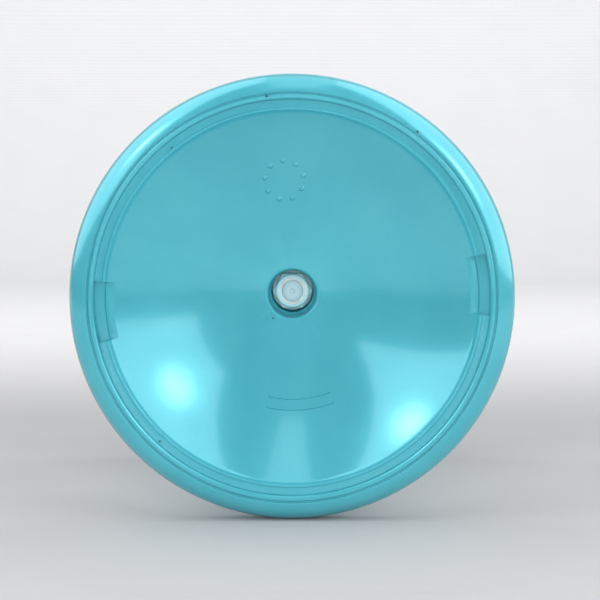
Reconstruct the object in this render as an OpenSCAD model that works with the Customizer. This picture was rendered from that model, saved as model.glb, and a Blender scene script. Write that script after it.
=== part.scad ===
// Diabolo: two flexible cups clamped to a spindle, with a string hub that
// turns freely on two ball bearings and a one-way roller clutch.
// The axle lies along Y and the origin is its middle. The front cup opens
// towards -Y. Each half is drawn standing on +Z, so "height" in a half is
// the distance from the middle of the axle.

/* [Cup] */
// Largest diameter of a cup, over its lip
cup_d = 125; // [110:1:140]
// Distance from the middle of the axle to the flat top of the lip
cup_reach = 65; // [60:0.5:72]
// Diameter of the round bead that makes the lip
bead_d = 13.2; // [11:0.2:13.8]
// Radius of the blend between the bead and the wall behind it
lip_blend = 10; // [6:1:16]
// Thickness of the cup's wall
wall = 3.5; // [2.5:0.1:4.5]
// Radius of the sphere that the bowl follows
bowl_curve = 80; // [74:1:100]
// How far both cups are turned round the axle, in degrees
cup_turn = 4; // [-20:1:20]

/* [Lip] */
// Width of the stepped ledge inside the lip
ledge_w = 3.2; // [2.4:0.1:3.8]
// Depth of the ledge below the lip
ledge_depth = 2.2; // [1.4:0.1:2.6]
// Angle that each of the two notches in the ledge spans
notch_span = 18; // [8:1:40]
// Depth of a notch below the ledge
notch_depth = 2.4; // [1:0.1:2.8]
// Width of the fine groove round the lip
groove_w = 0.5; // [0.3:0.1:0.8]
// Depth of the fine groove
groove_depth = 0.6; // [0.3:0.1:1]

/* [Neck] */
// Radius of the solid neck behind the bowl
neck_r = 13; // [12:0.5:15]
// Radius of the flare from neck to wall
neck_fillet = 26; // [20:1:30]
// Radius of the nut well, the round hole in the middle of the bowl
well_r = 7; // [6.8:0.1:7.6]
// Distance from the middle of the axle to the washer's seat
nut_seat = 24; // [22:0.5:24]

/* [Relief] */
// Height of the raised marks on the bowl
relief = 0.35; // [0.2:0.05:0.6]
// Half the angle that the curved bars span
bar_half_span = 17; // [8:1:30]
// Number of dots in the ring of dots
dot_count = 9; // [5:1:12]

/* [Axle] */
// Radius of the spindle inside the clutch
journal_r = 4; // [4:0.1:4]
// Radius of the spindle's threaded ends (M6)
stud_r = 3; // [3:0.1:3]
// Distance from the middle of the axle to a spindle end
stud_reach = 32.4; // [32:0.1:33]
// Radius of the flanges beside the hub
flange_r = 13; // [12:0.5:13]
// Radius at the bottom of the string groove
groove_bottom_r = 8; // [7.8:0.1:9]
// Radius of the string groove's section
groove_curve = 24; // [20:1:30]

/* [Bearings] */
// Number of balls in each bearing
ball_count = 8; // [6:1:9]
// Diameter of a ball
ball_d = 2.38; // [2:0.02:2.4]
// Number of rollers in the clutch
roller_count = 8; // [6:1:10]

/* [Hidden] */
$fn = 96;
eps = 0.01;
// radial room in a running fit, and round a stud in its hole
running = 0.05;
slip = 0.02;

// lip, as [radius, height] points of the cup's section
bead_r = bead_d / 2;
land = cup_reach;
land_cut = 0.2;
lip_steps = 11;
bead_c = [cup_d / 2 - bead_r, land + land_cut - bead_r];
land_half_w = sqrt(bead_r ^ 2 - (land - bead_c[1]) ^ 2);
land_angle = acos(land_half_w / bead_r);
groove_inset = 5.5;
groove_r = cup_d / 2 - groove_inset;
ridge_w = 1.8;
ridge_chamfer = 0.3;
ledge_outer = groove_r - ridge_w;
edge_slope = [0.7, 0.6];
edge_r = ledge_outer - ledge_w;
ledge_inner = edge_r + edge_slope[0];
ledge_a = land - ledge_depth;
edge_a = ledge_a - edge_slope[1];

// a notch reaches a little under the ridge, and past the bowl's edge
notch_a = ledge_a - notch_depth;
notch_in = 3;
notch_out = 0.3;
ridge_cover = 0.7;

// bowl and wall: two spheres about one centre on the axle
bowl_c = [0, edge_a + sqrt(bowl_curve ^ 2 - edge_r ^ 2)];
outer_curve = bowl_curve + wall;
fillet_c = [
    neck_r + neck_fillet,
    bowl_c[1] - sqrt((outer_curve + neck_fillet) ^ 2 - (neck_r + neck_fillet - bowl_c[0]) ^ 2)
];
fillet_angle = atan2(bowl_c[1] - fillet_c[1], bowl_c[0] - fillet_c[0]);
// blend from the wall to the bead: an arc that touches both from outside
to_bead = bead_c - bowl_c;
bead_gap = norm(to_bead);
blend_reach = outer_curve + lip_blend;
blend_swing = acos(
    (blend_reach ^ 2 + bead_gap ^ 2 - (bead_r + lip_blend) ^ 2) / (2 * blend_reach * bead_gap)
);
wall_end_angle = atan2(to_bead[1], to_bead[0]) - blend_swing;
blend_c = bowl_c + blend_reach * [cos(wall_end_angle), sin(wall_end_angle)];
bead_start_angle = 360 + atan2(blend_c[1] - bead_c[1], blend_c[0] - bead_c[0]);

// hub stack, all distances from the middle of the axle
clutch_half = 6;
bearing_in = 6.5;
bearing_w = 5;
bearing_out = bearing_in + bearing_w;
bearing_mid = bearing_in + bearing_w / 2;
flange_in = bearing_out + 0.5;
flange_out = flange_in + 2.5;
flange_chamfer = 0.3;
spigot_r = 9;
spigot_end = flange_out + 3;
sleeve_half = flange_in - 0.3;
sleeve_chamfer = 0.4;

// bearing section
inner_race_r = 4.15;
outer_race_r = 6.35;
bearing_r = 7.5;
pitch_r = (inner_race_r + outer_race_r) / 2;
shield_t = 0.25;
shield_inset = 0.1;
shield_gap = 0.2;
spacer_inset = 0.05;
cage_half_w = 1.5;
cage_half_t = 0.6;

// clutch section
shell_r = 6;
shell_wall = 0.4;
shell_lip_r = 4.4;
roller_r = 0.75;
roller_pitch_r = journal_r + running + roller_r;
roller_half = 4.4;
ramp_r = 0.85;
ramp_lead = 3;
ramp_end_gap = 0.2;
shell_end = 0.5;
shell_undercut = 0.1;
clutch_cage_gap = 0.15;
clutch_cage_end = 0.6;
pocket_end_gap = 0.1;

// nut well and fasteners
mouth_chamfer = 0.4;
nut_bore_r = 6.2;
well_step = stud_reach + 0.2;
stud_hole_r = stud_r + 0.2;
stud_chamfer = 0.6;
washer_r = 6;
washer_t = 1.6;
nut_flats = 10;
nut_hex_h = 4.6;
nut_h = 6;
nut_a = nut_seat + washer_t;
insert_r = 4.3;
insert_h = 1;
insert_grip = 0.4;
// cone that rounds the corners of the hexagon: radius beyond the flats
nut_cone_low = 2.6;
nut_cone_high = 0.3;
nut_collar_r = 4.95;
nut_collar_root = 1;
nut_collar_chamfer = 0.5;

// relief marks
bar_radii = [29.6, 32.6];
bar_w = 0.8;
bar_root = 1;
dot_r = 1;
dot_ring_r = 5.6;
dot_ring_up = 33;

// Points along an arc, from one angle to another
function arc(centre, radius, from, to, steps) = [
    for (i = [0:steps])
        let (t = from + (to - from) * i / steps)
            centre + radius * [cos(t), sin(t)]
];

// Height of the bowl's surface at a radius
function bowl_height(r) = bowl_c[1] - sqrt(bowl_curve ^ 2 - (r - bowl_c[0]) ^ 2);

// Angle, about the bowl's arc centre, of the surface at a radius
function bowl_angle(r) = asin((r - bowl_c[0]) / bowl_curve) - 90;

// Section of a cup, going out along the back and home down the bowl
function cup_section() = concat(
    [[spigot_r + running, flange_out], [neck_r, flange_out]],
    arc(fillet_c, neck_fillet, 180, fillet_angle, 10),
    arc(bowl_c, outer_curve, fillet_angle - 180, wall_end_angle, 14),
    arc(blend_c, lip_blend, 180 + wall_end_angle, bead_start_angle - 180, 8),
    arc(bead_c, bead_r, bead_start_angle, 360, 14),
    // one step on, so that the widest point is drawn once
    arc(bead_c, bead_r, 360 + land_angle / lip_steps, 360 + land_angle, lip_steps - 1),
    [
        [groove_r + groove_w / 2, land],
        [groove_r + groove_w / 2, land - groove_depth],
        [groove_r - groove_w / 2, land - groove_depth],
        [groove_r - groove_w / 2, land],
        [ledge_outer + ridge_chamfer, land],
        [ledge_outer, land - ridge_chamfer],
        [ledge_outer, ledge_a],
        [ledge_inner, ledge_a]
    ],
    arc(bowl_c, bowl_curve, bowl_angle(edge_r), bowl_angle(well_r + mouth_chamfer), 24),
    [
        [well_r, bowl_height(well_r) - mouth_chamfer],
        [well_r, well_step],
        [nut_bore_r, well_step],
        [nut_bore_r, nut_seat],
        [stud_hole_r, nut_seat],
        [stud_hole_r, spigot_end + running],
        [spigot_r + running, spigot_end + running]
    ]
);

// Puts a half that stands on +Z at the front (-Y) or at the rear (+Y)
module front() rotate([90, 0, 0]) children();
module rear() rotate([0, 0, 180]) front() children();

// A ring between two radii and two heights
module ring(inner, outer, low, high) {
    translate([0, 0, low]) difference() {
        cylinder(r = outer, h = high - low);
        translate([0, 0, -eps]) cylinder(r = inner, h = high - low + 2 * eps);
    }
}

// A cutter for one notch in the ledge, centred on +X
module notch_cutter() {
    rotate([0, 0, -notch_span / 2])
        rotate_extrude(angle = notch_span)
            translate([edge_r - notch_in, notch_a])
                square([ledge_outer + notch_out - edge_r + notch_in, land - ridge_cover - notch_a]);
}

// Two thin curved bars, raised on the lower side of the bowl. They reach a
// little way below its surface, so that they grow out of it.
module curved_bars() {
    for (r = bar_radii)
        rotate([0, 0, -90 - bar_half_span])
            rotate_extrude(angle = 2 * bar_half_span)
                translate([r - bar_w / 2, bowl_height(r) - bar_root])
                    square([bar_w, bar_root + relief]);
}

// A ring of small plain dots, raised on the upper side of the bowl
module dot_ring() {
    for (i = [0:dot_count - 1]) {
        t = 90 + 360 * i / dot_count;
        p = [dot_ring_r * cos(t), dot_ring_up + dot_ring_r * sin(t)];
        translate([p[0], p[1], bowl_height(norm(p)) + relief - dot_r])
            sphere(r = dot_r, $fn = 24);
    }
}

// Moulded cup: bowl, bead lip, ledge with two notches, neck and nut well
module cup() {
    color("mediumturquoise") rotate([0, 0, cup_turn]) union() {
        difference() {
            rotate_extrude() polygon(cup_section());
            for (side = [0, 180]) rotate([0, 0, side]) notch_cutter();
        }
        curved_bars();
        dot_ring();
    }
}

// Turned disc with a spigot that centres the cup on the spindle
module cup_flange() {
    color("silver") rotate_extrude() polygon([
        [stud_r + slip, flange_in],
        [flange_r - flange_chamfer, flange_in],
        [flange_r, flange_in + flange_chamfer],
        [flange_r, flange_out],
        [spigot_r, flange_out],
        [spigot_r, spigot_end - flange_chamfer],
        [spigot_r - flange_chamfer, spigot_end],
        [stud_r + slip, spigot_end]
    ]);
}

module washer() {
    color("lightgray") ring(stud_r + slip, washer_r, nut_seat, nut_a);
}

// Hex nut with a round collar rolled over its locking insert
module lock_nut() {
    color("gainsboro") difference() {
        union() {
            intersection() {
                translate([0, 0, nut_a])
                    cylinder(d = nut_flats / cos(30), h = nut_hex_h, $fn = 6);
                translate([0, 0, nut_a])
                    cylinder(r1 = nut_flats / 2 + nut_cone_low,
                        r2 = nut_flats / 2 + nut_cone_high, h = nut_hex_h);
            }
            rotate_extrude() polygon([
                [0, nut_a + nut_hex_h - nut_collar_root],
                [nut_collar_r, nut_a + nut_hex_h - nut_collar_root],
                [nut_collar_r, nut_a + nut_h - nut_collar_chamfer],
                [nut_collar_r - nut_collar_chamfer, nut_a + nut_h],
                [0, nut_a + nut_h]
            ]);
        }
        translate([0, 0, nut_a - eps]) cylinder(r = stud_r + slip, h = nut_h + 2 * eps);
        translate([0, 0, nut_a + nut_hex_h]) cylinder(r = insert_r, h = insert_h);
        translate([0, 0, nut_a + nut_hex_h]) cylinder(r = insert_r - insert_grip, h = nut_h);
    }
}

module nut_insert() {
    color("white")
        ring(stud_r + slip, insert_r, nut_a + nut_hex_h, nut_a + nut_hex_h + insert_h);
}

// Thin shim between the bearing's inner ring and the flange
module spacer() {
    color("goldenrod") ring(stud_r + slip, inner_race_r - spacer_inset, bearing_out, flange_in);
}

// The space that a ball sweeps round the axle, with running room
module ball_track() {
    rotate_extrude() translate([pitch_r, bearing_mid]) circle(r = ball_d / 2 + running, $fn = 48);
}

module bearing_inner_ring() {
    color("silver") difference() {
        ring(stud_r + slip, inner_race_r, bearing_in, bearing_out);
        ball_track();
    }
}

module bearing_outer_ring() {
    color("silver") difference() {
        ring(outer_race_r, bearing_r, bearing_in, bearing_out);
        ball_track();
    }
}

// The two thin shields that close a bearing
module bearing_shields() {
    color("gray") {
        ring(inner_race_r + shield_gap, outer_race_r,
            bearing_in + shield_inset, bearing_in + shield_inset + shield_t);
        ring(inner_race_r + shield_gap, outer_race_r,
            bearing_out - shield_inset - shield_t, bearing_out - shield_inset);
    }
}

// Places its child at each ball's centre
module at_balls() {
    for (i = [0:ball_count - 1])
        rotate([0, 0, 360 * i / ball_count]) translate([pitch_r, 0, bearing_mid]) children();
}

module bearing_balls() {
    color("whitesmoke") at_balls() sphere(d = ball_d, $fn = 32);
}

module ball_cage() {
    color("tan") difference() {
        ring(pitch_r - cage_half_t, pitch_r + cage_half_t,
            bearing_mid - cage_half_w, bearing_mid + cage_half_w);
        at_balls() rotate([0, 90, 0])
            cylinder(r = ball_d / 2 + running, h = 4 * cage_half_t, center = true);
    }
}

// Half of the spindle, from the middle to the end of one thread
function spindle_half() = [
    [journal_r, 0],
    [journal_r, bearing_in],
    [stud_r, bearing_in],
    [stud_r, stud_reach - stud_chamfer],
    [stud_r - stud_chamfer, stud_reach]
];

// Steel spindle: a journal for the clutch between two threaded ends
module spindle() {
    half = spindle_half();
    color("lightgray") front() rotate_extrude() polygon(concat(
        [[0, -stud_reach]],
        [for (i = [len(half) - 1:-1:1]) [half[i][0], -half[i][1]]],
        [for (i = [1:len(half) - 1]) half[i]],
        [[0, stud_reach]]
    ));
}

// Hub that the string runs on, bored for the clutch and both bearings
module hub_sleeve() {
    curve_c = [groove_bottom_r + groove_curve, 0];
    end_angle = asin((sleeve_half - sleeve_chamfer) / groove_curve);
    end_r = curve_c[0] - groove_curve * cos(end_angle);
    color("darkgray") front() rotate_extrude() polygon(concat(
        [
            [bearing_r, sleeve_half],
            [bearing_r, bearing_in],
            [shell_r, bearing_in],
            [shell_r, -bearing_in],
            [bearing_r, -bearing_in],
            [bearing_r, -sleeve_half],
            [end_r - sleeve_chamfer, -sleeve_half]
        ],
        arc(curve_c, groove_curve, 180 + end_angle, 180 - end_angle, 24),
        [[end_r - sleeve_chamfer, sleeve_half]]
    ));
}

// Places its child at each roller's axis
module at_rollers() {
    for (i = [0:roller_count - 1])
        rotate([0, 0, 360 * i / roller_count]) translate([roller_pitch_r, 0, 0]) children();
}

// Drawn shell of the clutch, with a ramp pocket behind each roller
module clutch_shell() {
    color("slategray") front() difference() {
        ring(shell_lip_r, shell_r, -clutch_half, clutch_half);
        ring(shell_lip_r - shell_undercut, shell_r - shell_wall,
            shell_end - clutch_half, clutch_half - shell_end);
        rotate([0, 0, ramp_lead]) at_rollers()
            translate([0, 0, -roller_half - ramp_end_gap])
                cylinder(r = ramp_r, h = 2 * (roller_half + ramp_end_gap));
    }
}

module clutch_rollers() {
    color("whitesmoke") front() at_rollers()
        translate([0, 0, -roller_half]) cylinder(r = roller_r, h = 2 * roller_half);
}

module clutch_cage() {
    color("darkolivegreen") front() difference() {
        ring(journal_r + clutch_cage_gap, shell_r - shell_wall - clutch_cage_gap,
            clutch_cage_end - clutch_half, clutch_half - clutch_cage_end);
        at_rollers()
            translate([0, 0, -roller_half - pocket_end_gap])
                cylinder(r = roller_r + running, h = 2 * (roller_half + pocket_end_gap));
    }
}

front() cup();  // front_cup
rear() cup();  // rear_cup
front() cup_flange();  // front_cup_flange
rear() cup_flange();  // rear_cup_flange
front() washer();  // front_washer
rear() washer();  // rear_washer
front() lock_nut();  // front_lock_nut
rear() lock_nut();  // rear_lock_nut
front() nut_insert();  // front_nut_insert
rear() nut_insert();  // rear_nut_insert
front() spacer();  // front_spacer
rear() spacer();  // rear_spacer
front() bearing_inner_ring();  // front_bearing_inner_ring
rear() bearing_inner_ring();  // rear_bearing_inner_ring
front() bearing_outer_ring();  // front_bearing_outer_ring
rear() bearing_outer_ring();  // rear_bearing_outer_ring
front() bearing_shields();  // front_bearing_shields
rear() bearing_shields();  // rear_bearing_shields
front() bearing_balls();  // front_bearing_balls
rear() bearing_balls();  // rear_bearing_balls
front() ball_cage();  // front_ball_cage
rear() ball_cage();  // rear_ball_cage
spindle();
hub_sleeve();
clutch_shell();
clutch_rollers();
clutch_cage();
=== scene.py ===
import math

import bpy
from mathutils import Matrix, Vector


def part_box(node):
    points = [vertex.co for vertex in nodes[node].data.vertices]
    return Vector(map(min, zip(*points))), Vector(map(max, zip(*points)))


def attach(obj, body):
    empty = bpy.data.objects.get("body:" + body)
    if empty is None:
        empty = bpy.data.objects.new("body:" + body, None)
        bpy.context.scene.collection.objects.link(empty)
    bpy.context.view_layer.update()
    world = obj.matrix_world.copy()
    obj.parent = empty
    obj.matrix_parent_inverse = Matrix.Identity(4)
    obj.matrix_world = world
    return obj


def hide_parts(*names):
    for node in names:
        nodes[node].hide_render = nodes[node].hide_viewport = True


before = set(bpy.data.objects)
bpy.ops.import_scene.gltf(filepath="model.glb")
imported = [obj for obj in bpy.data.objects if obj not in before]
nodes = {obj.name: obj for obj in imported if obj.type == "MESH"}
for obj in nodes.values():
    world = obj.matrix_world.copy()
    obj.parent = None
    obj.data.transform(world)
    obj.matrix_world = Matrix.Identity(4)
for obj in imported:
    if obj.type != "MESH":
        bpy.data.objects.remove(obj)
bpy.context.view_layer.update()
mm = 0.001


# ---------------------------------------------------------------- spindle
# Steel spindle, turned from bar and zinc plated: a ground journal for the
# clutch in the middle, rolled M6 threads towards both ends, and a
# centre-drilled dimple in each end face. Both cups are clamped on it.
def arc(centre, radius, start, end, steps):
    """Points of an arc as (radius, distance) pairs; the angles are in degrees."""
    turns = [math.radians(start + (end - start) * i / steps) for i in range(steps + 1)]
    return [(centre[0] + radius * math.cos(t), centre[1] + radius * math.sin(t)) for t in turns]


def rounded(corners, steps=4):
    """An outline of (radius, distance, rounding) corners, each rounded by an arc."""
    outline = []
    for before, corner, after in zip(corners[-1:] + corners[:-1], corners, corners[1:] + corners[:1]):
        point = Vector(corner[:2])
        if len(corner) == 2 or corner[2] == 0:
            outline.append(tuple(point))
            continue
        back = (Vector(before[:2]) - point).normalized()
        on = (Vector(after[:2]) - point).normalized()
        half = back.angle(on) / 2
        reach = corner[2] / math.tan(half)
        centre = point + (back + on).normalized() * corner[2] / math.sin(half)
        first = point + back * reach - centre
        last = point + on * reach - centre
        for i in range(steps + 1):
            spoke = first.lerp(last, i / steps).normalized() * corner[2]
            outline.append(tuple(centre + spoke))
    return outline


def turned(name, outline, steps=128, smooth=35):
    """Traces a closed outline, in millimetres, and spins it round the axle. Distance
    runs towards the front, so the piece stands on the front half."""
    bpy.ops.object.select_all(action="DESELECT")
    bpy.ops.mesh.primitive_plane_add(size=mm)
    piece = bpy.context.object
    piece.name = name
    bpy.ops.object.mode_set(mode="EDIT")
    bpy.ops.mesh.merge(type="CENTER")
    bpy.ops.transform.translate(value=(outline[0][0] * mm, -outline[0][1] * mm, 0))
    for start, end in zip(outline, outline[1:] + outline[:1]):
        step = ((end[0] - start[0]) * mm, (start[1] - end[1]) * mm, 0)
        bpy.ops.mesh.extrude_region_move(TRANSFORM_OT_translate={"value": step})
    bpy.ops.mesh.select_all(action="SELECT")
    bpy.ops.mesh.remove_doubles(threshold=0.002 * mm)
    bpy.ops.mesh.select_all(action="SELECT")
    bpy.ops.mesh.spin(steps=steps, angle=math.tau, center=(0, 0, 0), axis=(0, 1, 0))
    bpy.ops.mesh.select_all(action="SELECT")
    bpy.ops.mesh.remove_doubles(threshold=0.002 * mm)
    bpy.ops.mesh.normals_make_consistent(inside=False)
    bpy.ops.object.mode_set(mode="OBJECT")
    bpy.ops.object.shade_smooth_by_angle(angle=math.radians(smooth))
    return piece


def rear_copy(piece, name):
    """A copy with its own mesh, turned end for end on to the rear half."""
    bpy.ops.object.select_all(action="DESELECT")
    piece.select_set(True)
    bpy.context.view_layer.objects.active = piece
    bpy.ops.object.duplicate()
    made = bpy.context.object
    made.name = name
    bpy.ops.object.mode_set(mode="EDIT")
    bpy.ops.mesh.select_all(action="SELECT")
    bpy.ops.transform.rotate(value=math.pi, orient_axis="Z", center_override=(0, 0, 0))
    bpy.ops.object.mode_set(mode="OBJECT")
    return made


class Signal:
    """One output in a material's node tree. Arithmetic on it adds Math nodes."""

    def __init__(self, tree, socket=None):
        self.tree = tree
        self.socket = socket

    def node(self, kind, settings=(), values=(), output=0):
        """Adds a node: its settings first, then its sockets' values or links."""
        made = self.tree.nodes.new(kind)
        for name, value in dict(settings).items():
            setattr(made, name, value)
        for name, value in dict(values).items():
            if isinstance(value, Signal):
                self.tree.links.new(value.socket, made.inputs[name])
            else:
                made.inputs[name].default_value = value
        return Signal(self.tree, made.outputs[output])

    def maths(self, operation, *values):
        return self.node("ShaderNodeMath", {"operation": operation}, enumerate(values))

    def __add__(self, other):
        return self.maths("ADD", self, other)

    def __sub__(self, other):
        return self.maths("SUBTRACT", self, other)

    def __rsub__(self, other):
        return self.maths("SUBTRACT", other, self)

    def __mul__(self, other):
        return self.maths("MULTIPLY", self, other)

    def __truediv__(self, other):
        return self.maths("DIVIDE", self, other)

    __radd__ = __add__
    __rmul__ = __mul__

    def step(self, low, high):
        """0 below low and 1 above high, with a smooth rise between."""
        return self.node(
            "ShaderNodeMapRange",
            {"interpolation_type": "SMOOTHSTEP"},
            {"Value": self, "From Min": low, "From Max": high},
        )

    def near(self, value, reach):
        """1 where this is at a value, falling to 0 a reach away."""
        return 1 - self.maths("ABSOLUTE", self - value).step(0, reach)

    def mix(self, first, second):
        """Two colours mixed by this."""
        return self.node(
            "ShaderNodeMix", {"data_type": "RGBA"}, {0: self, 6: first, 7: second}, output=2
        )


class Finish:
    """A new material, with the places on a piece that its patterns follow."""

    def __init__(self, name, **fixed):
        self.material = bpy.data.materials.new(name)
        self.material.use_nodes = True
        self.tree = self.material.node_tree
        self.shader = self.tree.nodes["Principled BSDF"]
        for socket, value in fixed.items():
            self.shader.inputs[socket.replace("_", " ")].default_value = value
        start = Signal(self.tree)
        self.place = start.node("ShaderNodeTexCoord", output=3)
        self.x, self.y, self.z = (
            start.node("ShaderNodeSeparateXYZ", (), {0: self.place}, output=i) for i in range(3)
        )
        self.radius = start.maths("SQRT", self.x * self.x + self.z * self.z)

    def noise(self, scale, detail=2.0, vector=None, distortion=0.0):
        return self.place.node(
            "ShaderNodeTexNoise",
            (),
            {
                "Vector": vector or self.place,
                "Scale": scale,
                "Detail": detail,
                "Distortion": distortion,
            },
        )

    def vector(self, x, y, z):
        return self.place.node("ShaderNodeCombineXYZ", (), {0: x, 1: y, 2: z})

    def set(self, **varying):
        for socket, signal in varying.items():
            self.tree.links.new(signal.socket, self.shader.inputs[socket.replace("_", " ")])

    def bump(self, height, depth, strength=1.0):
        """Lets a height pattern feed the surface's normal; depth is in metres."""
        self.set(
            Normal=self.place.node(
                "ShaderNodeBump", (), {"Height": height, "Distance": depth, "Strength": strength}
            )
        )


metal_grime = (0.12, 0.11, 0.1, 1)


def metal(name, dark, light, rough, lathe_pitch=None, wear=0.5, bare=1.0):
    """Bare or plated metal: tool marks round the axle, handling smudges, fine hairline
    scratches and a little grime in patches. The pitch of the tool marks is in mm."""
    made = Finish(name, Metallic=bare)
    smudge = made.noise(140, 4).step(0.35, 0.75)
    hair = made.noise(320, 1, distortion=0.6).near(0.5, 0.012) * made.noise(90).step(0.45, 0.6)
    stain = made.noise(420, 5).step(0.62, 0.78) * wear
    tone = smudge.mix(dark, light)
    made.set(Base_Color=(stain * 0.55).mix(tone, metal_grime))
    grain = made.noise(2200, 2) - 0.5
    if lathe_pitch:
        along = (made.radius + made.y) * (math.tau / (lathe_pitch * mm))
        grain = grain * 0.5 + along.maths("SINE", along + made.noise(70) * 3) * 0.5
    made.set(Roughness=rough + smudge * 0.08 + hair * 0.18 + stain * 0.15 + grain * 0.05)
    made.bump(grain - hair, 0.006 * mm)
    return made.material


def wears(piece, material):
    """Gives a piece one material, in place of what it has."""
    piece.data.materials.clear()
    piece.data.materials.append(material)


def fit(piece, body, slot, material, *replaced):
    """Sets a finished piece on its body, for the plain parts that it stands for."""
    wears(piece, material)
    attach(piece, body)
    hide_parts(*replaced)


def keep(node, material):
    """Dresses a part whose plain shape is already right."""
    slots = nodes[node].data.materials
    if len(slots) == 0:
        slots.append(material)
    for i in range(len(slots)):
        slots[i] = material


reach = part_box("spindle")[1].y / mm
stud_r = 3
journal_r = 4
journal_half = 6.5
thread_pitch = 1
thread_depth = 0.5
thread_start = 12
# shares of the pitch at which a ring's crest ends, and its root starts and ends
thread_crest = 0.15
root_start = 0.5
root_end = 0.6
chamfer = 0.6
dimple_r = 0.9
dimple_depth = 0.7


def thread(sign):
    """One end's thread as close rings, from the journal out to the end face."""
    rings = [(stud_r, journal_half)]
    turns = round((reach - chamfer - thread_start) / thread_pitch)
    for i in range(turns):
        start = thread_start + i * thread_pitch
        rings += [
            (stud_r, start),
            (stud_r, start + thread_crest * thread_pitch),
            (stud_r - thread_depth, start + root_start * thread_pitch),
            (stud_r - thread_depth, start + root_end * thread_pitch),
        ]
    rings += [(stud_r, thread_start + turns * thread_pitch), (stud_r - chamfer, reach)]
    rings += [(dimple_r, reach), (0, reach - dimple_depth)]
    return [(r, sign * a) for r, a in rings]


spindle = turned(
    "spindle_turned",
    thread(-1)[::-1] + [(journal_r, -journal_half), (journal_r, journal_half)] + thread(1),
    steps=96,
)
# painted highlight and reflection: the pale turquoise tint stands in for the glint on the stud end and
# for light bounced off the well's turquoise walls
spindle_zinc_painted_glint = metal(
    "spindle zinc", (0.58, 0.78, 0.83, 1), (0.78, 0.94, 0.97, 1), 0.4, lathe_pitch=0.3, bare=0.2
)
fit(spindle, "spinner", "spindle_steel", spindle_zinc_painted_glint, "spindle")


# ---------------------------------------------------------------- clutch
# One-way needle clutch in the middle of the hub: a drawn steel shell pressed
# into the bore, eight hardened rollers, and the nylon cage that spaces them.
hard_steel = metal("bearing steel", (0.50, 0.51, 0.53, 1), (0.74, 0.75, 0.77, 1), 0.14, wear=0.2)


def nylon(name, dark, light, rough, glow):
    """Moulded nylon: slightly cloudy, with soft flow marks and a fine grain."""
    made = Finish(name, Subsurface_Weight=glow, Subsurface_Scale=0.6 * mm, Roughness=rough)
    cloud = made.noise(260, 3).step(0.3, 0.75)
    flow = made.noise(120, 2, distortion=2.5).near(0.5, 0.06)
    made.set(Base_Color=(cloud * 0.7 + flow * 0.2).mix(dark, light))
    grain = made.noise(1800, 3)
    made.set(Roughness=rough + cloud * 0.1 + grain * 0.06)
    made.bump(grain + flow * 0.4, 0.01 * mm)
    return made.material


cage_nylon = nylon("cage nylon", (0.20, 0.16, 0.09, 1), (0.34, 0.28, 0.17, 1), 0.48, 0.1)
keep("clutch_shell", hard_steel)
keep("clutch_rollers", hard_steel)
keep("clutch_cage", cage_nylon)


# ---------------------------------------------------------------- bearings
# Two small deep-groove ball bearings, one at each end of the hub: rings and
# balls of polished steel, a nylon cage and two thin pressed shields.
shield_steel = metal(
    "shield steel", (0.36, 0.37, 0.39, 1), (0.54, 0.55, 0.57, 1), 0.33, lathe_pitch=0.25
)
for end in ("front", "rear"):
    keep(f"{end}_bearing_inner_ring", hard_steel)
    keep(f"{end}_bearing_outer_ring", hard_steel)
    keep(f"{end}_bearing_balls", hard_steel)
    keep(f"{end}_ball_cage", cage_nylon)
    keep(f"{end}_bearing_shields", shield_steel)


# ---------------------------------------------------------------- hub sleeve
# The string runs on this aluminium sleeve. It is turned to a shallow groove,
# bored for clutch and bearings, and polished bright where the string rubs.
hub_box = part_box("hub_sleeve")
hub_half = hub_box[1].y / mm
hub_end_r = hub_box[1].x / mm
groove_bottom = 8
groove_curve = 24
bearing_seat_r = 7.5
clutch_seat_r = 6
edge_round = 0.35
line_depth = 0.18
line_half_w = 0.22
line_at = 9.6
end_band = 1


def hub_radius(along):
    """Radius of the string groove at a distance from the middle."""
    return groove_bottom + groove_curve - math.sqrt(groove_curve ** 2 - along ** 2)


def hub_line(sign):
    """A fine turned line near one end of the groove."""
    across = [-line_half_w, 0, line_half_w]
    depths = [0, line_depth, 0]
    line = [(hub_radius(line_at + x) - d, sign * (line_at + x)) for x, d in zip(across, depths)]
    return line[::int(sign)]


groove_steps = 40
sweep_half = line_at - 1
sweep = [-sweep_half + 2 * sweep_half * i / groove_steps for i in range(groove_steps + 1)]
hub_outline = rounded(
    [
        (hub_end_r, -hub_half, edge_round),
        (hub_radius(hub_half - end_band), -hub_half + end_band),
        *hub_line(-1),
        *[(hub_radius(a), a) for a in sweep],
        *hub_line(1),
        (hub_radius(hub_half - end_band), hub_half - end_band),
        (hub_end_r, hub_half, edge_round),
        (bearing_seat_r, hub_half, 0.2),
        (bearing_seat_r, journal_half),
        (clutch_seat_r, journal_half),
        (clutch_seat_r, -journal_half),
        (bearing_seat_r, -journal_half),
        (bearing_seat_r, -hub_half, 0.2),
    ]
)
hub = turned("hub_sleeve_turned", hub_outline, steps=160)
hub_alloy = metal("hub alloy", (0.48, 0.49, 0.52, 1), (0.68, 0.70, 0.73, 1), 0.27, lathe_pitch=0.22)
fit(hub, "hub", "hub_alloy", hub_alloy, "hub_sleeve")


# ---------------------------------------------------------------- spacers
# A thin brass shim between each bearing's inner ring and the flange, so that
# only the inner ring is clamped and the hub stays free.
shim_brass = metal("shim brass", (0.56, 0.38, 0.14, 1), (0.78, 0.58, 0.26, 1), 0.3, lathe_pitch=0.2)
for end in ("front", "rear"):
    keep(f"{end}_spacer", shim_brass)


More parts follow.
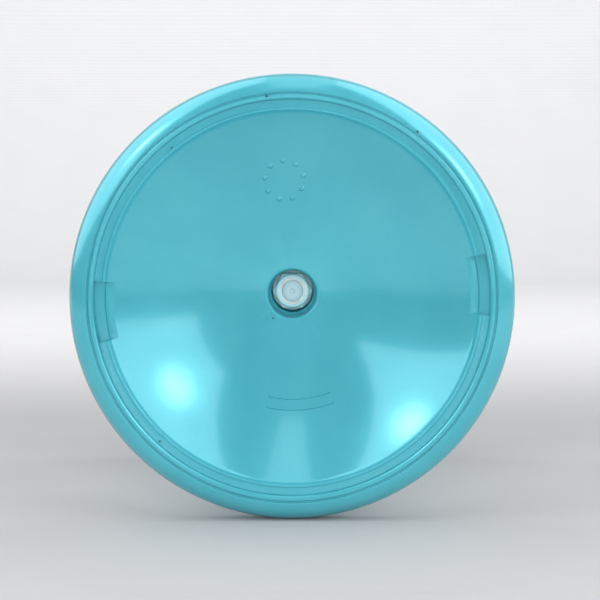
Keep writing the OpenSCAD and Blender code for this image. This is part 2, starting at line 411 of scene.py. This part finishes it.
# ---------------------------------------------------------------- flanges
# A turned aluminium flange carries each cup: the disc beside the hub guides
# the string, and the spigot behind it centres the cup on the spindle.
flange_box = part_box("front_cup_flange")
flange_r = flange_box[1].x / mm
flange_in = -flange_box[1].y / mm
spigot_end = -flange_box[0].y / mm
flange_thick = 2.5
flange_out = flange_in + flange_thick
spigot_r = 9
stud_hole_r = 3.02
rim_line_depth = 0.25
rim_line_half = 0.3
rim_middle = (flange_in + flange_out) / 2
flange_outline = rounded(
    [
        (stud_hole_r, flange_in, 0.15),
        (flange_r, flange_in, 0.35),
        (flange_r, rim_middle - rim_line_half),
        (flange_r - rim_line_depth, rim_middle),
        (flange_r, rim_middle + rim_line_half),
        (flange_r, flange_out, 0.15),
        (spigot_r, flange_out),
        (spigot_r, spigot_end, 0.3),
        (stud_hole_r, spigot_end, 0.15),
    ]
)
flange = turned("front_flange_turned", flange_outline, steps=160)
flange_alloy = metal(
    "flange alloy", (0.60, 0.61, 0.63, 1), (0.80, 0.81, 0.83, 1), 0.25, lathe_pitch=0.24
)
fit(rear_copy(flange, "rear_flange_turned"), "spinner", "flange_alloy", flange_alloy, "rear_cup_flange")
fit(flange, "spinner", "flange_alloy", flange_alloy, "front_cup_flange")


# ---------------------------------------------------------------- cups
# Each cup is one injection moulding in pearly turquoise plastic: solid neck,
# round bowl, and a thick rolled lip. Inside the lip are a fine parting line,
# a stepped ledge with two notches, and shallow raised marks on the bowl. A
# round well in its middle takes the nut that clamps it on the spindle.
cup_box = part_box("front_cup")
cup_r = cup_box[1].x / mm
land = -cup_box[0].y / mm
bead_r = 6.6
land_cut = 0.2
bead = (cup_r - bead_r, land + land_cut - bead_r)
land_angle = math.degrees(math.acos(math.sqrt(bead_r ** 2 - (land - bead[1]) ** 2) / bead_r))
lip_w = 5.5
line_r = cup_r - lip_w
line_w = 0.5
line_deep = 0.6
ridge_w = 1.8
ledge_out = line_r - ridge_w
ledge_deep = 2.2
ledge = land - ledge_deep
ledge_w = 3.2
edge_r = ledge_out - ledge_w
edge_drop = 0.6
edge = ledge - edge_drop
# a low bead along the ledge's inner edge: where it starts, crests and ends
bead_foot = 1.3
bead_crest = 1.0
bead_in = 0.45
bead_up = 0.16
bowl_curve = 80
wall = 3.5
bowl = (0, edge + math.sqrt(bowl_curve ** 2 - edge_r ** 2))
neck_r = 13
neck_fillet = 26
lip_blend = 10
well_r = 7
well_clearance = 0.2
well_step = reach + well_clearance
nut_bore_r = 6.2
nut_seat = 24
cup_bore_r = 9.05
cup_hole_r = stud_r + 0.2
cup_turn = 4
notch_half = 9
notch_deep = 2.4
notch_floor = ledge - notch_deep
notch_in = math.sqrt(bowl_curve ** 2 - (bowl[1] - notch_floor) ** 2)
bar_radii = (29.6, 32.6)
bar_half_w = 0.4
bar_half = 17
relief = 0.35
around = 360


def bowl_height(radius):
    return bowl[1] - math.sqrt(bowl_curve ** 2 - radius ** 2)


def direction(start, end):
    return math.degrees(math.atan2(end[1] - start[1], end[0] - start[0]))


outer = bowl_curve + wall
neck_x = neck_r + neck_fillet
neck_c = (neck_x, bowl[1] - math.sqrt((outer + neck_fillet) ** 2 - neck_x ** 2))
neck_end = direction(neck_c, bowl)
to_bead = Vector(bead) - Vector(bowl)
swing = math.degrees(
    math.acos(
        ((outer + lip_blend) ** 2 + to_bead.length ** 2 - (bead_r + lip_blend) ** 2)
        / (2 * (outer + lip_blend) * to_bead.length)
    )
)
wall_end = direction(bowl, bead) - swing
blend_c = arc(bowl, outer + lip_blend, wall_end, wall_end, 1)[0]
bead_start = 360 + direction(bead, blend_c)

# radii that the bowl's loops pass through: those of the marks and the notches
marks = [r + side * bar_half_w for r in bar_radii for side in (-1, 1)]
bowl_radii = [edge_r, 51.2, 50.5, notch_in, 48.8, 47, 45, 43, 41, 39, 37, 35]
bowl_radii += marks[::-1] + [31, 28, 26, 24, 22, 20, 18, 16, 14, 12, 10, 9, 8.2]
bowl_radii = sorted(set(bowl_radii), reverse=True)
cup_outline = rounded(
    [
        (cup_bore_r, flange_out),
        (neck_r, flange_out, 0.5),
        *arc(neck_c, neck_fillet, 180, neck_end, 18),
        *arc(bowl, outer, neck_end - 180, wall_end, 16)[1:],
        *arc(blend_c, lip_blend, 180 + wall_end, bead_start - 180, 10)[1:],
        *arc(bead, bead_r, bead_start, 360 + land_angle, 34)[1:],
        (line_r + line_w / 2, land, 0.12),
        (line_r + line_w / 2, land - line_deep, 0.1),
        (line_r - line_w / 2, land - line_deep, 0.1),
        (line_r - line_w / 2, land, 0.42),
        (ledge_out, land, 0.85),
        (ledge_out, ledge, 0.12),
        (edge_r + bead_foot, ledge, 0.1),
        (edge_r + bead_crest, ledge + bead_up, 0.12),
        (edge_r + bead_in, ledge + bead_up, 0.2),
        *[(r, bowl_height(r)) for r in bowl_radii],
        (well_r, bowl_height(well_r), 0.45),
        (well_r, well_step, 0.15),
        (nut_bore_r, well_step, 0.1),
        (nut_bore_r, nut_seat),
        (cup_hole_r, nut_seat),
        (cup_hole_r, spigot_end),
        (cup_bore_r, spigot_end),
    ]
)
front_cup = turned("front_cup_moulding", cup_outline, steps=around, smooth=30)


def choose(piece, mode, test):
    """Selects the faces or vertices that pass a test on their radius, distance and angle
    round the axle, in millimetres and degrees, and leaves the piece in edit mode."""
    bpy.ops.object.mode_set(mode="EDIT")
    bpy.ops.mesh.select_mode(type=mode)
    bpy.ops.mesh.select_all(action="DESELECT")
    bpy.ops.object.mode_set(mode="OBJECT")
    parts = piece.data.polygons if mode == "FACE" else piece.data.vertices
    for part in parts:
        at = part.center if mode == "FACE" else part.co
        angle = math.degrees(math.atan2(at.z, at.x))
        part.select = test(math.hypot(at.x, at.z) / mm, -at.y / mm, angle)
    bpy.ops.object.mode_set(mode="EDIT")


def apart(angle, other):
    """The smaller angle between two directions round the axle, in degrees."""
    return abs((angle - other + 180) % 360 - 180)


# raised bars: their faces are inset a little as they rise, for draft
bar_draft = 0.12
for bar in bar_radii:
    choose(
        front_cup,
        "FACE",
        lambda r, a, t: abs(r - bar) < bar_half_w
        and abs(a - bowl_height(bar)) < 1
        and abs(t + 90) < bar_half,
    )
    bpy.ops.mesh.inset(thickness=bar_draft * mm, depth=relief * mm)

# notches: the ledge is sunk to a flat floor, with a low line raised along it
floor_line = 0.3
for middle in (0, 180):
    choose(
        front_cup,
        "FACE",
        lambda r, a, t: notch_in < r < ledge_out
        and notch_floor < a < ledge + 2 * bead_up
        and apart(t, middle) < notch_half,
    )
    bpy.ops.mesh.extrude_region_move(TRANSFORM_OT_translate={"value": (0, floor_line * mm, 0)})
    bpy.ops.transform.resize(value=(1, 0, 1), center_override=(0, -notch_floor * mm, 0))
    choose(
        front_cup,
        "VERT",
        lambda r, a, t: abs(r - edge_r) < 0.3
        and abs(a - notch_floor) < 0.05
        and apart(t, middle) < notch_half - 0.5,
    )
    bpy.ops.transform.translate(value=(0, -floor_line * mm, 0))
bpy.ops.object.mode_set(mode="OBJECT")


def combine(piece, tool, operation):
    """Joins a tool to a piece, or cuts the piece by it, as one closed solid."""
    bpy.ops.object.select_all(action="DESELECT")
    piece.select_set(True)
    bpy.context.view_layer.objects.active = piece
    change = piece.modifiers.new(operation, "BOOLEAN")
    change.operation = operation
    change.solver = "EXACT"
    change.object = tool
    bpy.ops.object.modifier_apply(modifier=change.name)
    bpy.data.objects.remove(tool)
    bpy.ops.object.mode_set(mode="EDIT")
    bpy.ops.mesh.select_all(action="SELECT")
    bpy.ops.mesh.remove_doubles(threshold=0.001 * mm)
    bpy.ops.object.mode_set(mode="OBJECT")


# a ring of plain dots: the tops of small balls, fused into the bowl
dot_r = 1
dot_count = 9
dot_ring_r = 5.6
dot_ring_up = 33
dots = []
for i in range(dot_count):
    turn = math.radians(90 + 360 * i / dot_count)
    x = dot_ring_r * math.cos(turn)
    z = dot_ring_up + dot_ring_r * math.sin(turn)
    depth = bowl_height(math.hypot(x, z)) + relief - dot_r
    bpy.ops.mesh.primitive_uv_sphere_add(
        segments=20, ring_count=12, radius=dot_r * mm, location=(x * mm, -depth * mm, z * mm)
    )
    dots.append(bpy.context.object)
for dot in dots:
    dot.select_set(True)
bpy.ops.object.join()
bpy.ops.object.transform_apply(location=True, rotation=True, scale=True)
combine(front_cup, bpy.context.object, "UNION")

bpy.ops.object.shade_smooth_by_angle(angle=math.radians(30))
bpy.ops.object.mode_set(mode="EDIT")
bpy.ops.mesh.select_all(action="SELECT")
bpy.ops.transform.rotate(
    value=math.radians(cup_turn), orient_axis="Y", center_override=(0, 0, 0)
)
bpy.ops.object.mode_set(mode="OBJECT")

# pearl plastic: flow streaks out from the well, a fine shimmer of pigment,
# hairline scuffs, painted shade with some grime in the corners by the lip, and a few dark specks
cup_plastic = Finish(
    "cup plastic",
    Metallic=0.36,
    Specular_IOR_Level=0.5,
    Subsurface_Weight=0.1,
    Subsurface_Radius=(0.4, 1.0, 1.0),
    Subsurface_Scale=2.0 * mm,
    Coat_Roughness=0.07,
    Coat_IOR=1.6,
)
c = cup_plastic
around_axis = c.vector(c.x / c.radius * 3, c.z / c.radius * 3, c.radius * 30)
flow = c.noise(1, 3, around_axis, 0.8).step(0.2, 0.8)
pearl = c.noise(1300, 3)
cloud = c.noise(38, 2).step(0.3, 0.7)
deep_turquoise = (0.054, 0.405, 0.495, 1)
pale_turquoise = (0.09, 0.49, 0.575, 1)
# one dark colour for the painted shade in the corners by the lip and for the real dirt specks
cup_grime_and_shade = (0.012, 0.05, 0.055, 1)
tone = (flow * 0.25 + pearl * 0.4 + cloud * 0.35).mix(deep_turquoise, pale_turquoise)
# painted shade with some grime: darker round the corner at the foot of the ledge's wall and along the
# parting line's groove, where shade falls; noise makes it patchy
corner = c.radius.near(ledge_out * mm, 0.22 * mm) * (0.35 + c.noise(140, 3).step(0.35, 0.7) * 0.65)
parting_line_shade_and_grime = c.radius.near(line_r * mm, 0.3 * mm) * (0.3 + c.noise(110, 3).step(0.4, 0.7) * 0.7)
grime = corner.maths("MAXIMUM", corner, parting_line_shade_and_grime) * 0.28
# each speck is (x, z, size), in millimetres, on the front cup alone
specks = [
    (-5.5, -7.1, 0.42), (-7.3, -7.5, 0.22), (-7.0, 56.0, 0.5), (-33.4, 41.8, 0.42),
    (-37.0, -40.1, 0.45), (34.6, 46.2, 0.5), (31.5, 48.4, 0.22), (-36.0, -38.4, 0.2),
]
front = (c.y + 0.02).step(0.001, -0.001)
spots = None
for x, z, size in specks:
    dx = c.x - x * mm
    dz = c.z - z * mm
    gap = c.x.maths("SQRT", dx * dx + dz * dz)
    spot = gap.step(size * mm, 0.55 * size * mm)
    spots = spot if spots is None else spots.maths("MAXIMUM", spots, spot)
# the painted shade in the corners, joined with the specks, which are real dirt
dirt_and_crease_shade = grime.maths("MAXIMUM", grime, spots * front * 0.9)
c.set(Base_Color=dirt_and_crease_shade.mix(tone, cup_grime_and_shade))
hair = c.noise(75, 0, distortion=0.5).near(0.5, 0.0016) * c.noise(45).step(0.52, 0.62)
smudge = c.noise(60, 4).step(0.4, 0.75)
# the well isn't polished as the bowl is
in_well = c.radius.step(8.2 * mm, 7.1 * mm)
c.set(Roughness=0.19 + smudge * 0.05 + hair * 0.04 + dirt_and_crease_shade * 0.3 + in_well * 0.35)
c.set(Coat_Weight=(0.55 - smudge * 0.12) * (1 - in_well))
c.bump(c.noise(300, 2) * 0.8 + pearl * 0.2, 0.006 * mm)
rear_cup = rear_copy(front_cup, "rear_cup_moulding")
fit(front_cup, "spinner", "cup_plastic", cup_plastic.material, "front_cup")
fit(rear_cup, "spinner", "cup_plastic", cup_plastic.material, "rear_cup")


# ---------------------------------------------------------------- washers and nuts
# At the bottom of each well a pressed zinc-plated washer sits under a lock
# nut: a chamfered hexagon whose collar is rolled over a ring of white nylon
# that grips the thread.
washer_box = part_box("front_washer")
washer_r = washer_box[1].x / mm
nut_low = -washer_box[0].y / mm
# painted reflection: the zinc's strong pale turquoise tint stands in for light bounced off the
# turquoise walls of the well
zinc = metal(
    "zinc plate", (0.52, 0.84, 0.90, 1), (0.66, 0.95, 0.98, 1), 0.45, wear=0.1, bare=0.05
)
washer = turned(
    "front_washer_pressed",
    rounded(
        [
            (stud_hole_r, nut_seat, 0.1),
            (washer_r, nut_seat, 0.15),
            (washer_r, nut_low, 0.4),
            (stud_hole_r, nut_low, 0.25),
        ]
    ),
)
fit(rear_copy(washer, "rear_washer_pressed"), "spinner", "zinc_steel", zinc, "rear_washer")
fit(washer, "spinner", "zinc_steel", zinc, "front_washer")

nut_top = -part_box("front_lock_nut")[0].y / mm
nut_flats = 10
corner_r = nut_flats / 2 / math.cos(math.radians(30))
hex_height = 4.6
hex_top = nut_low + hex_height
collar_r = 4.95
insert_r = 4.3
insert_height = 1
insert_top = hex_top + insert_height
rolled_r = 3.9
nut = turned(
    "front_lock_nut_formed",
    rounded(
        [
            (stud_hole_r, nut_low, 0.15),
            (nut_flats / 2 + 0.2, nut_low),
            (corner_r + 0.05, nut_low + 0.35),
            (corner_r + 0.05, hex_top - 0.45),
            (nut_flats / 2 + 0.05, hex_top - 0.05),
            (collar_r, hex_top),
            (collar_r, nut_top, 0.7),
            (rolled_r, nut_top - 0.15, 0.12),
            (rolled_r, insert_top),
            (insert_r, insert_top),
            (insert_r, hex_top),
            (stud_hole_r, hex_top),
        ]
    ),
)
bpy.ops.object.select_all(action="DESELECT")
bpy.ops.mesh.primitive_cylinder_add(
    vertices=6,
    radius=corner_r * mm,
    depth=(nut_top - nut_low + 1) * mm,
    location=(0, -(nut_low + nut_top) / 2 * mm, 0),
    rotation=(math.pi / 2, math.radians(30), 0),
)
hexagon = bpy.context.object
bpy.ops.object.transform_apply(location=True, rotation=True, scale=True)
combine(nut, hexagon, "INTERSECT")
bpy.ops.object.shade_smooth_by_angle(angle=math.radians(28))
fit(rear_copy(nut, "rear_lock_nut_formed"), "spinner", "zinc_steel", zinc, "rear_lock_nut")
fit(nut, "spinner", "zinc_steel", zinc, "front_lock_nut")

insert = turned(
    "front_insert_ring",
    rounded(
        [
            (stud_hole_r, hex_top, 0.1),
            (insert_r, hex_top, 0.1),
            (insert_r, insert_top, 0.1),
            (stud_hole_r, insert_top, 0.3),
        ]
    ),
)
white_nylon = nylon("lock ring nylon", (0.66, 0.70, 0.70, 1), (0.86, 0.89, 0.88, 1), 0.36, 0.3)
fit(rear_copy(insert, "rear_insert_ring"), "spinner", "nylon", white_nylon, "rear_nut_insert")
fit(insert, "spinner", "nylon", white_nylon, "front_nut_insert")


# ---------------------------------------------------------------- floor, lights and camera
# A pale paper sweep. Two curved soft boxes stand above, one on each side, with
# a dimmer panel between them. One lamp lights the back of the sweep, and one in
# front, which reflections don't show, reaches into the well.
floor_z = -cup_r * mm
bpy.ops.object.select_all(action="DESELECT")
bpy.ops.mesh.primitive_plane_add(size=1, location=(0, -0.3, floor_z))
sweep_floor = bpy.context.object
sweep_floor.name = "floor"
bpy.ops.object.mode_set(mode="EDIT")
bpy.ops.transform.resize(value=(5, 2.6, 1), center_override=(0, -0.3, floor_z))
bpy.ops.mesh.select_all(action="DESELECT")
bpy.ops.object.mode_set(mode="OBJECT")
back_edge = max(v.co.y for v in sweep_floor.data.vertices)
for e in sweep_floor.data.edges:
    e.select = all(abs(sweep_floor.data.vertices[i].co.y - back_edge) < 1e-6 for i in e.vertices)
bpy.ops.object.mode_set(mode="EDIT")
bpy.ops.mesh.select_mode(type="EDGE")
bend_r = 0.5
bend_steps = 16
for i in range(bend_steps):
    low, high = (math.radians(90 * k / bend_steps) for k in (i, i + 1))
    step = (0, bend_r * (math.sin(high) - math.sin(low)), bend_r * (math.cos(low) - math.cos(high)))
    bpy.ops.mesh.extrude_region_move(TRANSFORM_OT_translate={"value": step})
bpy.ops.mesh.extrude_region_move(TRANSFORM_OT_translate={"value": (0, 0, 2)})
bpy.ops.object.mode_set(mode="OBJECT")
bpy.ops.object.shade_smooth()
paper = Finish("sweep paper", Roughness=0.75)
ribs = paper.y.maths("SINE", paper.y * (math.tau / (2.6 * mm)) + paper.noise(9) * 4)
paper_tone = paper.noise(26, 3) * 0.7 + ribs * 0.1
paper.set(Base_Color=paper_tone.mix((0.43, 0.43, 0.437, 1), (0.475, 0.47, 0.475, 1)))
paper.bump(ribs * 0.5 + paper.noise(600, 2), 0.05 * mm)
wears(sweep_floor, paper.material)


box_distance = 0.75
core_reach = 0.13


def toward(angle, polar):
    """The direction at an angle round the axle, from the right, and a polar angle from
    the front, both in degrees."""
    turn, lean = math.radians(angle), math.radians(polar)
    return Vector(
        (math.sin(lean) * math.cos(turn), -math.cos(lean), math.sin(lean) * math.sin(turn))
    )


def soft_box(name, edges, core, radiance, core_radiance):
    """A curved diffuser panel round the object. Each of its edges is given as (polar,
    low, high): an angle from the front, and the angles round the axle, from the right,
    between which the panel reaches there. The lamp inside makes a brighter core."""
    cells = 14
    bpy.ops.object.select_all(action="DESELECT")
    bpy.ops.mesh.primitive_grid_add(x_subdivisions=cells, y_subdivisions=cells, size=2)
    panel = bpy.context.object
    panel.name = name
    for v in panel.data.vertices:
        across, back = (v.co.x + 1) / 2, (v.co.y + 1) / 2 * (len(edges) - 1)
        i = min(int(back), len(edges) - 2)
        share = back - i
        polar, low, high = (a + (b - a) * share for a, b in zip(edges[i], edges[i + 1]))
        v.co = toward(low + (high - low) * across, polar) * box_distance
    glow = bpy.data.materials.new(name)
    glow.use_nodes = True
    glow.node_tree.nodes.clear()
    start = Signal(glow.node_tree)
    place = start.node("ShaderNodeTexCoord", output=3)
    offset = start.node(
        "ShaderNodeVectorMath",
        {"operation": "DISTANCE"},
        {0: place, 1: toward(*core) * box_distance},
        output=1,
    )
    strength = radiance + offset.step(core_reach, 0) * (core_radiance - radiance)
    shine = start.node("ShaderNodeEmission", (), {"Strength": strength})
    out = glow.node_tree.nodes.new("ShaderNodeOutputMaterial")
    glow.node_tree.links.new(shine.socket, out.inputs["Surface"])
    wears(panel, glow)
    panel.visible_camera = False


soft_box("right_box", [(33, 5, 45), (81, 2, 78), (118, 0, 78)], (34, 51), 1.85, 8)
soft_box("left_box", [(27, 148, 154), (81, 98, 172), (118, 97, 176)], (136, 62), 1.85, 9)
soft_box("ceiling", [(40, 84, 96), (81, 79, 97), (118, 79, 96)], (88, 70), 1.1, 1.1)

backlight = bpy.data.lights.new("sweep lamp", "AREA")
backlight.shape = "RECTANGLE"
backlight.size = 2.4
backlight.size_y = 1.0
backlight.energy = 36
backlight_object = bpy.data.objects.new("sweep lamp", backlight)
bpy.context.scene.collection.objects.link(backlight_object)
backlight_object.location = (0, 0.38, 0.8)
backlight_object.rotation_euler = (math.radians(76), 0, 0)
backlight_object.visible_camera = False

front_lamp = bpy.data.lights.new("front lamp", "AREA")
front_lamp.shape = "DISK"
front_lamp.size = 0.3
front_lamp.energy = 3.0
front_lamp_object = bpy.data.objects.new("front lamp", front_lamp)
bpy.context.scene.collection.objects.link(front_lamp_object)
front_lamp_object.location = (0, -0.72, 0.1)
front_lamp_object.rotation_euler = (math.radians(82), 0, 0)
front_lamp_object.visible_camera = False
front_lamp_object.visible_glossy = False

world = bpy.data.worlds.new("room")
world.use_nodes = True
world.node_tree.nodes["Background"].inputs["Color"].default_value = (0.86, 0.93, 1.0, 1)
world.node_tree.nodes["Background"].inputs["Strength"].default_value = 0.3
bpy.context.scene.world = world
bpy.context.scene.view_settings.view_transform = "Standard"

elevation = math.radians(4)
aim = Vector((2.2, -bead[1], -0.76)) * mm
stand_off = 0.589
view_width = 0.1682
camera = bpy.data.cameras.new("camera")
camera.lens = camera.sensor_width * stand_off / view_width
camera_object = bpy.data.objects.new("camera", camera)
bpy.context.scene.collection.objects.link(camera_object)
camera_object.location = aim + stand_off * Vector((0, -math.cos(elevation), math.sin(elevation)))
camera_object.rotation_euler = (math.pi / 2 - elevation, 0, 0)
camera.clip_end = 20
bpy.context.scene.camera = camera_object
